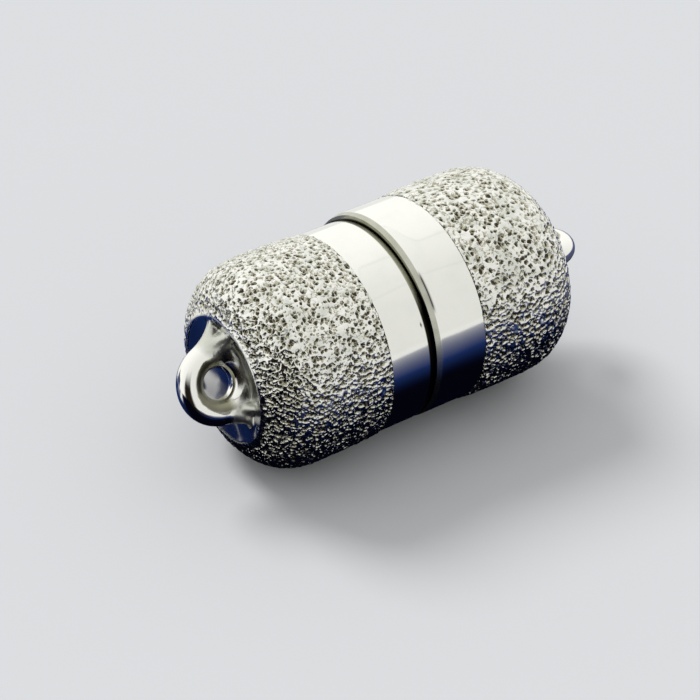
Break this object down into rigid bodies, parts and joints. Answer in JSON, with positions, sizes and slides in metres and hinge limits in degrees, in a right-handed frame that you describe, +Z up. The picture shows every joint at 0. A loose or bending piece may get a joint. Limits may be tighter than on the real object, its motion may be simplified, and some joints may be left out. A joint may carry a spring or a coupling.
{
  "type": "magnetic clasp",
  "caption": "Barrel-shaped magnetic clasp for a necklace or bracelet: textured silver halves with polished bands, held by magnets, a closed loop at each end.",
  "frame": {"origin": "middle of the clasp's footprint, on the surface that it lies on", "axes": "+X along the clasp's axis, from the near half to the far half; +Z up"},
  "size_m": [0.0178, 0.0084, 0.0084],
  "materials": {
    "textured_silver": "dense sharp pits and bright grains",
    "polished_silver": "hand polished",
    "plated_magnet": "nickel plated, slightly dull"
  },
  "bodies": {
    "near_half": {"near_cup": "textured_silver", "near_band": "polished_silver", "near_magnet": "plated_magnet", "near_loop_cap": "polished_silver"},
    "far_half": {"far_cup": "textured_silver", "far_band": "polished_silver", "far_magnet": "plated_magnet", "far_loop_cap": "polished_silver"}
  },
  "joints": [
    {"name": "pull_apart", "type": "slide", "parent": "near_half", "child": "far_half", "axis": [1, 0, 0], "range_m": [0, 0.012]}
  ]
}
